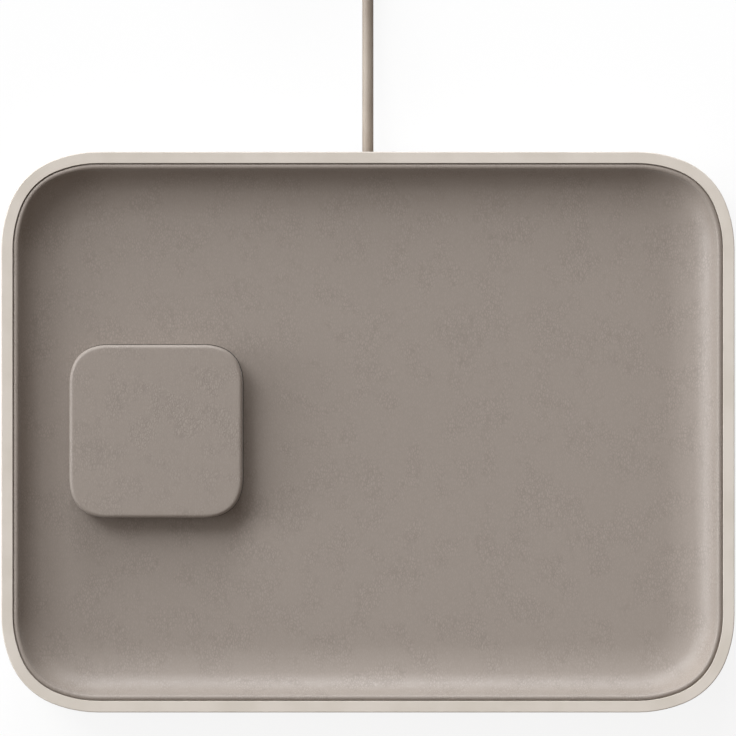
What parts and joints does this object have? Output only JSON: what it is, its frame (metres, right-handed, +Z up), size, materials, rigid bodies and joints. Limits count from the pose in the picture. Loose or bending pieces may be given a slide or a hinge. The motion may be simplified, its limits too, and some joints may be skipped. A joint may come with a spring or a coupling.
{
  "type": "charging station organizer",
  "caption": "Shallow rounded desk tray with a pale frame, a coved leather-lined well and a raised leather-covered wireless charging puck, with a pull-out USB cable at the back.",
  "frame": {"origin": "on the table under the middle of the tray, without its cable", "axes": "+X along the tray's long side to the right with the puck on the left, +Y to the back where the cable leaves, +Z up"},
  "size_m": [0.254, 0.4052, 0.024],
  "materials": {
    "bone_paint": "fine matt powder coat, warm bone",
    "taupe_leather": "fine pebble grain, low sheen",
    "grey_moulding": "moulded, matt",
    "base_moulding": "moulded, fine texture",
    "foot_rubber": "soft silicone rubber",
    "screw_steel": "zinc plated steel",
    "bone_moulding": "moulded, matt, darker bone like the cable",
    "cable_jacket": "soft jacket, dark bone",
    "tie_rubber": "soft silicone strap",
    "plug_steel": "nickel plated steel",
    "contact_moulding": "black moulding",
    "copper": "enamelled copper wire",
    "ferrite": "sintered ferrite, matt",
    "magnet_nickel": "nickel plated magnet",
    "board_laminate": "solder mask",
    "chip_moulding": "black chip moulding",
    "capacitor_ceramic": "ceramic capacitor",
    "header_nylon": "natural nylon",
    "wire_insulation": "insulated wire"
  },
  "bodies": {
    "station": {"rim_frame": "bone_paint", "tray_pan": "grey_moulding", "tray_leather": "taupe_leather", "base_plate": "base_moulding", "foot_front_left": "foot_rubber", "foot_front_right": "foot_rubber", "foot_rear_left": "foot_rubber", "foot_rear_right": "foot_rubber", "base_screws": "screw_steel", "puck_housing": "grey_moulding", "puck_leather": "taupe_leather", "puck_screws": "screw_steel", "coil_carrier": "grey_moulding", "ferrite_shield": "ferrite", "charging_coil": "copper", "magnet_ring": "magnet_nickel", "temperature_sensor": "chip_moulding", "coil_leads": "copper", "main_board": "board_laminate", "main_board_chips": "chip_moulding", "resonant_capacitors": "capacitor_ceramic", "main_board_screws": "screw_steel", "port_board": "board_laminate", "port_board_screws": "screw_steel", "port_liner": "bone_moulding", "usb_receptacle": "plug_steel", "receptacle_tongue": "contact_moulding", "board_headers": "header_nylon", "harness_plugs": "header_nylon", "harness_wires": "wire_insulation"},
    "cable": {"plug_shell": "plug_steel", "plug_contacts": "contact_moulding", "plug_grip": "bone_moulding", "cable_lead": "cable_jacket", "cable_coil": "cable_jacket", "cable_tie": "tie_rubber", "cable_tail": "cable_jacket", "far_plug_grip": "bone_moulding", "far_plug_shell": "plug_steel", "far_plug_contacts": "contact_moulding"}
  },
  "joints": [
    {"name": "cable_unplug", "type": "slide", "parent": "station", "child": "cable", "axis": [0, 1, 0], "range_m": [0, 0.024]}
  ]
}
